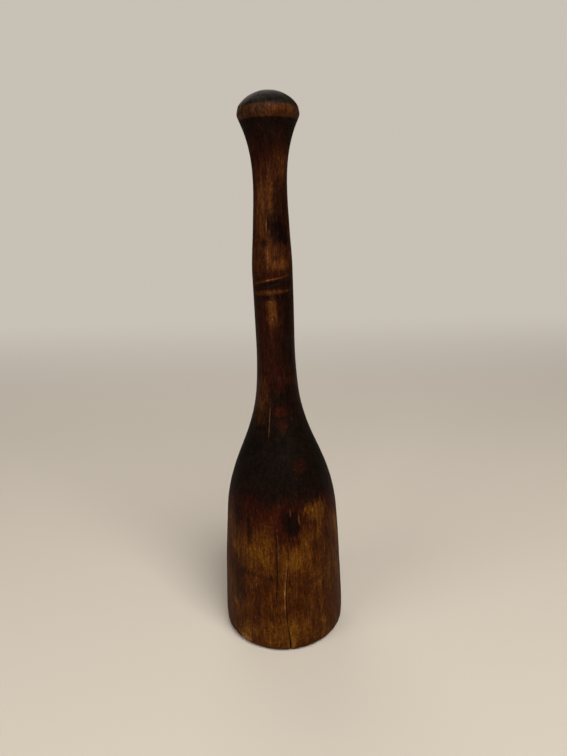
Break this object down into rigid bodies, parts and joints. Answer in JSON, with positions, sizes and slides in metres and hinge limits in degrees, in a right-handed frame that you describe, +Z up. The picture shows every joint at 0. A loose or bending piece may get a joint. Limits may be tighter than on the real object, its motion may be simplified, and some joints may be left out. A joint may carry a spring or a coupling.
{
  "type": "wooden pestle",
  "caption": "Turned wooden pestle in one piece: broad head with a flat striking face, sloping shoulder, slim and slightly bent handle, domed knob. For crushing food in a mortar or bowl.",
  "frame": {"origin": "middle of the flat striking face, on the axis of the head", "axes": "+Z runs up the head's axis towards the knob, -Y is the front, where the drying check and the knot show, and +X is to the right seen from the front"},
  "size_m": [0.0858, 0.0858, 0.36],
  "materials": {
    "worn_hardwood": "old dark patina, hand-worn satin sheen"
  },
  "bodies": {
    "root": {"pestle": "worn_hardwood"}
  },
  "joints": []
}
